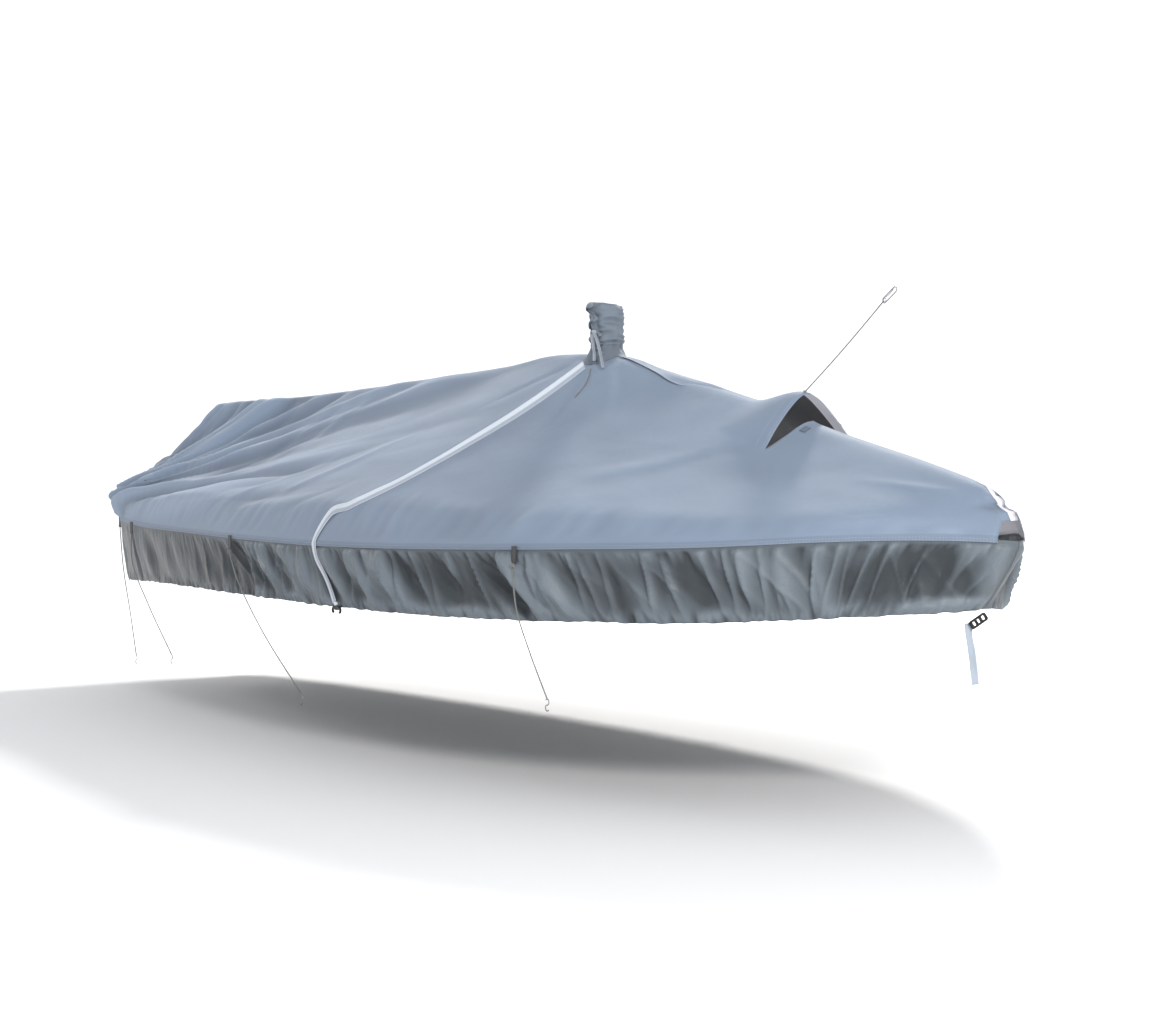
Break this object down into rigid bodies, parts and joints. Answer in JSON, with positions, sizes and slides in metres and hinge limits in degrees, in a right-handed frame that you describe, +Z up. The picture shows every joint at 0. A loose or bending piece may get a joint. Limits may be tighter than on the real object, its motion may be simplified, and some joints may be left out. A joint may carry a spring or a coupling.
{
  "type": "boat cover",
  "caption": "Fitted cloth cover for a sailing dinghy with its mast up: ridge over the boom, collar round the mast, vent hood, gathered skirts below the gunwale, side straps and tie cords.",
  "frame": {"origin": "on the mast's axis, just under the top's peak, where the mast and the boom carry the cover", "axes": "+X forward to the bow, +Y to port, +Z up along the mast"},
  "size_m": [4.5586, 1.6396, 1.3165],
  "materials": {
    "top_cloth": "matt woven, coated",
    "skirt_cloth": "thin, slightly shiny woven",
    "pale_webbing": "matt webbing",
    "dark_webbing": "matt webbing",
    "black_plastic": "moulded, satin",
    "patch_cloth": "matt woven",
    "pale_cord": "laid cord",
    "steel": "bright wire"
  },
  "bodies": {
    "root": {"bow_buckle": "black_plastic", "bow_tail": "pale_webbing", "collar": "top_cloth", "collar_cord": "pale_cord", "collar_knot": "pale_webbing", "collar_tape_aft": "pale_webbing", "collar_tape_fore": "pale_webbing", "front_flap": "top_cloth", "hood_hook": "steel", "hood_knot": "pale_cord", "hood_line": "pale_cord", "hood_patch": "patch_cloth", "short_tie": "pale_cord", "skirt_port": "skirt_cloth", "skirt_starboard": "skirt_cloth", "strap_hook_port": "black_plastic", "strap_hook_starboard": "black_plastic", "strap_knot_port": "pale_webbing", "strap_knot_starboard": "pale_webbing", "strap_port": "pale_webbing", "strap_starboard": "pale_webbing", "tie_cord_bridle": "pale_cord", "tie_cord_corner": "pale_cord", "tie_cord_quarter": "pale_cord", "tie_cord_waist": "pale_cord", "tie_hook_bridle": "steel", "tie_hook_corner": "steel", "tie_hook_quarter": "steel", "tie_hook_waist": "steel", "tie_knot_quarter": "pale_cord", "tie_knot_waist": "pale_cord", "tie_loop_bridle_port": "dark_webbing", "tie_loop_bridle_starboard": "dark_webbing", "tie_loop_corner_port": "dark_webbing", "tie_loop_corner_starboard": "dark_webbing", "tie_loop_quarter_port": "dark_webbing", "tie_loop_quarter_starboard": "dark_webbing", "tie_loop_waist_port": "dark_webbing", "tie_loop_waist_starboard": "dark_webbing", "top_aft": "top_cloth", "top_port": "top_cloth", "top_starboard": "top_cloth"}
  },
  "joints": []
}
